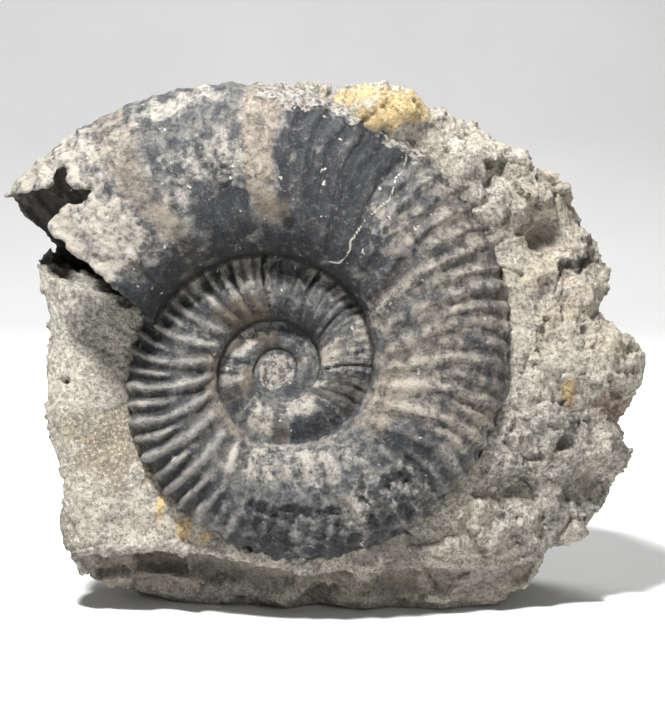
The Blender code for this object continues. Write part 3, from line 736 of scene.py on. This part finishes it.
shell_stone, place = start_material("worn_grey_blue_shell")
cloud = speckle(place, 60.0, 6.0, 0.65)
grain = speckle(place, 380.0, 5.0, 0.75)
sand = speckle(place, 1300.0, 3.0, 0.7)
rib_way = place.out(place.node("ShaderNodeAttribute", {"attribute_name": "rib_place"}), "Vector")
streaks = speckle(rib_way, 1.0, 5.0, 0.7)
marble = speckle(place, 150.0, 5.0, 0.7)
white_flecks = speckle(place, 230.0, 2.0, 0.5).steep(0.705, 0.76)
mottle = (cloud - 0.5) * 0.9 + (marble - 0.5) * 1.3 + (grain - 0.5) * 0.9 + (streaks - 0.5) * 0.5
worn_mask = (mask(place, "worn") + mottle).steep(0.20, 0.85)
dark_and_wall_shade_mask = (mask(place, "dark_and_wall_shade") - mottle * 0.8).steep(0.25, 0.85)
crest_mask = (mask(place, "crest") + mottle * 0.5).steep(0.05, 1.0)
tan_mask = (mask(place, "tan") + mottle * 0.7).steep(0.25, 1.0)
brown_mask = (mask(place, "brown") + mottle * 0.7).steep(0.30, 1.0)
stone_mask = (mask(place, "stone") + (grain - 0.5) * 0.6).steep(0.35, 0.65)
seam_and_painted_shade_mask = (mask(place, "seam") + (grain - 0.5) * 0.3).steep(0.15, 0.9)
vein_mask = (mask(place, "vein") + (grain - 0.5) * 0.5).steep(0.30, 0.75)
slate = place.mixed(marble.steep(0.38, 0.62), SLATE_DARK, SLATE_PALE)
granular = place.mixed(grain.steep(0.40, 0.60), CRUST_DARK, CRUST_PALE)
colour = layered(slate, [
    # The shell's dark zones, partly painted shade on the inner wall of the last turn at the top
    (dark_and_wall_shade_mask * 0.92, NEAR_BLACK),
    (crest_mask * 0.75, CREST_GREY),
    (streaks.steep(0.50, 0.72) * 0.30, STREAK_BLUE),
    (worn_mask * 0.95, WORN_CREAM),
    (tan_mask * 0.60, WEATHERED_TAN),
    (brown_mask * 0.70, OLIVE_BROWN),
    # Painted shade in the furrows between ribs, the ring scar and the halt grooves
    (mask(place, "painted_groove_shade") * 0.92, GROOVE_SHADE_BLACK),
    ((1 - grain.steep(0.34, 0.48)) * (0.65 - worn_mask * 0.30), GRAIN_BLACK),
    (grain.steep(0.55, 0.68) * (0.22 + worn_mask * 0.3), GRAIN_PALE),
    (sand.steep(0.56, 0.70) * (0.14 + worn_mask * 0.30), SAND_PALE),
    # Painted shade in the hollow of the chamber and on the shell behind the coil's plane
    (mask(place, "inside") * 0.85, CHAMBER_PAINTED_SHADE),
    # The seams' own dark line, with painted shade on the seams and the inner wall above the middle
    (seam_and_painted_shade_mask * 0.85, SEAM_AND_SHADE_BLACK),
    (white_flecks * 0.7, FLECK_WHITE),
    (vein_mask, CALCITE),
    (stone_mask, granular),
])
roughness = 0.42 + worn_mask * 0.30 + stone_mask * 0.2 - dark_and_wall_shade_mask * 0.04
shell_stone.node_tree.nodes["Principled BSDF"].inputs["Specular IOR Level"].default_value = SHELL_SHEEN
finish_material(
    shell_stone, place, colour, roughness.clamped(),
    [(streaks, 0.0006, 0.5), (cloud, 0.0016, 0.4), (grain, 0.0017, 1.0), (sand, 0.0006, 1.0)],
)
ammonite.data.materials.clear()
ammonite.data.materials.append(shell_stone)
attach(ammonite, "root")
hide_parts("ammonite")


# The block of stone
# Sandy, fossil-bearing limestone, broken on every side. It is smooth and low at the left, rough on the
# right, laps over the shell at the top, and has a bench along the foot. Yellow-brown lumps are fused in.
BLOCK_FACE_SIZE = 0.00130
MERGE_WITHIN = 0.00001
SOCKET_RADIUS = 0.070
BACK_HEIGHT = -0.040
block = bpy.data.objects.new("limestone_block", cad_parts["matrix"].data.copy())
bpy.context.scene.collection.objects.link(block)
work_on(block)
bpy.ops.object.mode_set(mode="EDIT")
bpy.ops.mesh.select_all(action="SELECT")
bpy.ops.mesh.remove_doubles(threshold=MERGE_WITHIN)
bpy.ops.object.mode_set(mode="OBJECT")
even_mesh(block, BLOCK_FACE_SIZE)
apply_modifier(block, "SMOOTH", factor=0.5, iterations=5)
block.data.transform(WORLD_TO_FACE)
here = positions(block)
out_of_sight = (np.hypot(here[:, 0], here[:, 1]) < SOCKET_RADIUS) | (here[:, 2] < BACK_HEIGHT)
toward_back = 1 - smooth_step(-0.030, -0.010, here[:, 2])
lighten(block, MOST_TRIANGLES, np.where(out_of_sight, 1.0, 0.35 * toward_back))

on_plane = positions(block)
outward = directions(block)
block_x, block_y = photo_pixels(on_plane)
facing = smooth_step(0.1, 0.5, outward[:, 2])


def chips(points, size, seed):
    """Flat facets, each tilted its own way like broken stone, from about -1 to 1."""
    shift = Vector((seed * 1.1, seed * 2.7, seed * 0.9))
    middle = Vector((0.5, 0.5, 0.5))
    heights = np.empty(len(points))
    for number, point in enumerate(points):
        scaled = Vector(point) / size + shift
        nearest = noise.voronoi(scaled)[1][0]
        heights[number] = 2 * (scaled - nearest).dot(noise.cell_vector(nearest) - middle)
    return heights


# Broken facets by height, size and seed, coarse on the right and nearly flat at the lower left
CHIPS = [(0.0040, 0.021, 3), (0.0019, 0.0085, 5), (0.0008, 0.0045, 8)]
smooth_left = band(block_x, 20, 165, 14) * band(block_y, 250, 548, 8) * facing
rough = 1 - 0.80 * smooth_left
broken = sum(height * chips(on_plane, size, seed) for height, size, seed in CHIPS)
broken += 0.0013 * lumps(on_plane * np.array([0.7, 1, 1]), 0.030, 51, 2)
block_lift = rough * broken + 0.00040 * lumps(on_plane, 0.0032, 53, 2)

# The bench along the foot: its edge, the hollow under it, and the layers of rock below
LEDGE_PX = [(60, 560), (110, 556), (165, 550), (200, 556), (240, 562), (300, 575), (400, 575), (540, 562)]
LEDGE_DEPTH = [(60, 0.003), (120, 0.0050), (210, 0.0065), (260, 0.004), (330, 0.0025), (540, 0.002)]
LAYER_STEP_PX = 17
stone_fleck = lumps(on_plane, 0.009, 67, 3)
under = block_y - read_list(LEDGE_PX, block_x) + 3 * stone_fleck
hollow = band(under, 1, 22, 4) * facing * read_list(LEDGE_DEPTH, block_x)
block_lift -= hollow
block_lift += 0.0018 * band(under, -9, -1, 2) * facing * band(block_x, 50, 300, 20)
layer_turn = 2 * math.pi * (under + 10 * lumps(on_plane, 0.030, 71, 2)) / LAYER_STEP_PX
block_lift += 0.0011 * (np.abs(np.sin(layer_turn / 2)) - 0.5) * smooth_step(2, 14, under) * facing

# Pits, hollows, knobs and the yellow lumps: a pixel, its reach in pixels, height
STONE_SPOTS = [
    (65, 382, 4, -0.0040), (565, 443, 6, -0.0050), (545, 240, 22, -0.0035), (598, 262, 14, -0.0030),
    (590, 485, 22, -0.0035), (512, 492, 16, -0.0025), (396, 106, 22, 0.0030), (380, 100, 10, 0.0015),
    (412, 112, 9, 0.0018), (350, 98, 14, 0.0016), (184, 527, 8, 0.0016), (206, 537, 6, 0.0014),
    (160, 508, 6, 0.0012), (437, 130, 10, -0.0020), (100, 505, 22, 0.0010), (575, 300, 16, 0.0020),
    (556, 330, 12, -0.0020), (610, 350, 20, 0.0018), (530, 205, 14, 0.0022), (548, 175, 14, -0.0018),
    (480, 160, 18, 0.0018), (540, 420, 14, 0.0020), (570, 470, 12, 0.0022), (470, 545, 24, 0.0016),
    (400, 560, 24, -0.0012), (300, 560, 20, 0.0012), (505, 440, 16, 0.0016), (590, 395, 10, -0.0016),
]
for across, down, reach, height in STONE_SPOTS:
    block_lift += height * spot(across, down, reach, block_x, block_y) * facing * (1 + 0.5 * stone_fleck)


def to_world(points):
    """Points on the coil's plane as points of the scene."""
    return points @ np.array(FACE_TO_WORLD)[:3, :3].T + np.array(COIL_CENTRE)


# Flat on the ground, and calm beside the shell
block_lift *= smooth_step(0.0002, 0.004, to_world(on_plane)[:, 2])
shell_in_plane = ammonite.data.copy()
shell_in_plane.transform(WORLD_TO_FACE)
shell_tree = BVHTree.FromPolygons(
    [point.co.copy() for point in shell_in_plane.vertices],
    [tuple(face.vertices) for face in shell_in_plane.polygons],
)
bpy.data.meshes.remove(shell_in_plane)
CALM_REACH = 0.012
LEAST_RELIEF = 0.25
CALM_BESIDE_SHELL = 0.75
TOUCHING = 0.000001
GAP_REACH = 0.0050
CLOSED_GAP = 0.0026
TUCKED_IN = 0.0012
calm = np.ones(len(on_plane))
for number, point in enumerate(on_plane):
    hit = shell_tree.find_nearest(Vector(point), CALM_REACH)
    if hit[0] is not None:
        calm[number] = LEAST_RELIEF + (1 - LEAST_RELIEF) * hit[3] / CALM_REACH
moved = on_plane + outward * (block_lift * calm)[:, None]

# The stone closes on the shell all round its rim, a little way in, so that no gap shows
for number in np.flatnonzero(calm < CALM_BESIDE_SHELL):
    point = Vector(moved[number])
    hit = shell_tree.find_nearest(point, GAP_REACH)
    if hit[0] is not None and hit[3] > TOUCHING and (point - hit[0]).dot(hit[1]) > 0:
        pull = 1 - float(smooth_step(CLOSED_GAP, GAP_REACH, np.array(hit[3])))
        moved[number] += np.array((hit[0] - point) * ((hit[3] + TUCKED_IN * pull) / hit[3] * pull))
world_points = to_world(moved)
world_points[:, 2] = np.maximum(world_points[:, 2], 0.0)
cad_low, cad_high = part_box("matrix")
move_points(block, np.clip(world_points, np.array(cad_low), np.array(cad_high)))

# Stains, oval with ragged edges: a pixel across and down, two reaches in pixels, amount
OCHRE_STAINS = [
    (397, 108, 34, 20, 1.0), (350, 96, 32, 9, 0.7), (568, 394, 8, 18, 0.8), (184, 527, 10, 14, 0.9),
    (160, 508, 6, 20, 0.8), (206, 537, 8, 8, 0.9), (137, 430, 5, 18, 0.6), (146, 472, 6, 24, 0.6),
    (595, 350, 34, 24, 0.35), (545, 195, 34, 24, 0.35), (175, 492, 16, 6, 0.4), (70, 440, 24, 18, 0.35),
    (480, 540, 40, 14, 0.25), (515, 590, 24, 10, 0.4),
]
RUST_STAINS = [
    (618, 408, 24, 20, 0.8), (570, 402, 7, 10, 0.7), (168, 562, 34, 9, 0.9), (560, 300, 14, 10, 0.4),
]
FILM_STAINS = [(110, 452, 52, 46, 0.9), (100, 420, 45, 14, 0.8)]
stain_noise = lumps(on_plane, 0.010, 61, 4)


def stains(entries):
    """How stained every point is by the strongest of these."""
    total = np.zeros(len(on_plane))
    for across, down, reach_x, reach_y, amount in entries:
        apart = np.hypot((block_x - across) / reach_x, (block_y - down) / reach_y)
        covered = 1 - smooth_step(0.4, 1.4, apart + 0.6 * stain_noise)
        total = np.maximum(total, amount * covered * (facing > 0))
    return total


upper_right = smooth_step(430, 560, block_x) * (1 - smooth_step(300, 420, block_y))
block_masks = {
    "ochre": stains(OCHRE_STAINS),
    "rust": stains(RUST_STAINS),
    "film": stains(FILM_STAINS),
    "beige": upper_right * (0.7 + 0.5 * stain_noise),
    # Painted shade in pits and hollows, darker the deeper they go
    "painted_hollow_shade": smooth_step(0.0006, 0.0045, -block_lift + 0.6 * hollow),
    # Painted shade under the edge of the bench
    "shade": band(under, 0, 40, 4) * facing,
    "smooth": smooth_left,
}
for name, values in block_masks.items():
    keep_mask(block, name, values)
block.data.shade_smooth()

STONE_GREY = (0.222, 0.209, 0.180)
STONE_PALE = (0.410, 0.374, 0.304)
COARSE_PALE = (0.560, 0.520, 0.440)
COARSE_DARK = (0.075, 0.067, 0.055)
FINE_PALE = (0.640, 0.610, 0.545)
FINE_DARK = (0.060, 0.054, 0.046)
BEIGE = (0.500, 0.415, 0.300)
BROWN_FILM = (0.190, 0.150, 0.085)
OCHRE = (0.550, 0.385, 0.150)
RUST = (0.220, 0.110, 0.065)
HOLLOW_SHADE_GREY = (0.110, 0.100, 0.084)
BENCH_PAINTED_SHADE = (0.110, 0.092, 0.070)

limestone, place = start_material("sandy_limestone")
cloud = speckle(place, 28.0, 6.0, 0.6)
coarse_grain = speckle(place, 220.0, 6.0, 0.75)
grain = speckle(place, 600.0, 4.0, 0.75)
sand = speckle(place, 1500.0, 2.0, 0.7)
beige_mask = (mask(place, "beige") + (cloud - 0.5) * 1.2).steep(0.2, 1.0)
film_mask = (mask(place, "film") + (coarse_grain - 0.5) * 0.6).steep(0.3, 0.9)
ochre_mask = (mask(place, "ochre") + (coarse_grain - 0.5) * 0.8).steep(0.25, 0.85)
rust_mask = (mask(place, "rust") + (coarse_grain - 0.5) * 0.8).steep(0.30, 0.85)
colour = layered(place.mixed(cloud.steep(0.35, 0.65), STONE_GREY, STONE_PALE), [
    (coarse_grain.steep(0.42, 0.68) * 0.8, COARSE_PALE),
    (beige_mask * 0.65, BEIGE),
    (film_mask * 0.65, BROWN_FILM),
    (ochre_mask * 0.85, OCHRE),
    (rust_mask * 0.6, RUST),
    (grain.steep(0.52, 0.64) * 0.60, FINE_PALE),
    ((1 - grain.steep(0.36, 0.50)) * 0.68, FINE_DARK),
    ((1 - coarse_grain.steep(0.32, 0.47)) * 0.60, COARSE_DARK),
    # Painted shade in pits and hollows
    (mask(place, "painted_hollow_shade") * 0.55, HOLLOW_SHADE_GREY),
    # Painted shade under the edge of the bench
    (mask(place, "shade") * 0.25, BENCH_PAINTED_SHADE),
])
roughness = 0.86 + (grain - 0.5) * 0.2
coarse_relief = coarse_grain * (1 - mask(place, "smooth") * 0.6)
finish_material(
    limestone, place, colour, roughness.clamped(),
    [(cloud, 0.003, 0.4), (coarse_relief, 0.0024, 0.8), (grain, 0.0014, 1.0), (sand, 0.0006, 1.0)],
)
block.data.materials.clear()
block.data.materials.append(limestone)
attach(block, "root")
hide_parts("matrix")


# The floor and the light
# A plain pale sweep of paper, a small soft light high at the front left, a broad weak one at the right,
# one above from behind, and a little light from all round. None of it is part of the object.
FLOOR_SIZE = (9, 6, 1)
FLOOR_CENTRE = (0, -2.1, 0)
SWEEP_BEHIND = 0.8
SWEEP_STEPS = [(0, 0.5, 0.15), (0, 0.3, 0.6), (0, 0.05, 2.0)]
PAPER_SHADES = [(0.70, 0.70, 0.69), (0.73, 0.73, 0.72)]
WORLD_LIGHT = 0.12

deselect_all()
bpy.ops.mesh.primitive_plane_add(size=1, location=(0, 0, 0))
floor = bpy.context.object
floor.name = "paper_sweep"
floor.scale = FLOOR_SIZE
floor.location = FLOOR_CENTRE
bpy.ops.object.transform_apply(location=True, rotation=False, scale=True)
bpy.ops.object.mode_set(mode="EDIT")
bpy.ops.mesh.select_all(action="DESELECT")
bpy.ops.object.mode_set(mode="OBJECT")
for edge in floor.data.edges:
    edge.select = all(floor.data.vertices[number].co.y > SWEEP_BEHIND for number in edge.vertices)
bpy.ops.object.mode_set(mode="EDIT")
for step in SWEEP_STEPS:
    bpy.ops.mesh.extrude_region_move(TRANSFORM_OT_translate={"value": step})
bpy.ops.object.mode_set(mode="OBJECT")
floor.data.shade_smooth()
paper, place = start_material("pale_paper")
tint = place.mixed(speckle(place, 4.0).steep(0.3, 0.7), *PAPER_SHADES)
paper_shader = paper.node_tree.nodes["Principled BSDF"]
paper.node_tree.links.new(tint.socket, paper_shader.inputs["Base Color"])
paper_shader.inputs["Roughness"].default_value = 0.9
floor.data.materials.append(paper)


def soft_light(name, place, aim, width, power):
    bpy.ops.object.light_add(type="AREA", location=place)
    light = bpy.context.object
    light.name = name
    light.data.shape = "RECTANGLE"
    light.data.size = width
    light.data.size_y = width * 0.6
    light.data.energy = power
    light.rotation_euler = (Vector(aim) - Vector(place)).to_track_quat("-Z", "Y").to_euler()


soft_light("key", (-0.24, -0.50, 1.15), (0, 0, 0.12), 0.18, 40)
soft_light("fill", (0.9, -1.1, 0.55), (0, 0, 0.12), 0.8, 2.5)
soft_light("top", (0.1, 0.35, 1.1), (0, 0, 0.15), 0.6, 8)
world = bpy.data.worlds.new("studio")
bpy.context.scene.world = world
world.use_nodes = True
sky = world.node_tree.nodes["Background"]
sky.inputs["Color"].default_value = (0.9, 0.93, 1.0, 1)
sky.inputs["Strength"].default_value = WORLD_LIGHT
bpy.context.scene.view_settings.view_transform = "Standard"

bpy.context.view_layer.update()
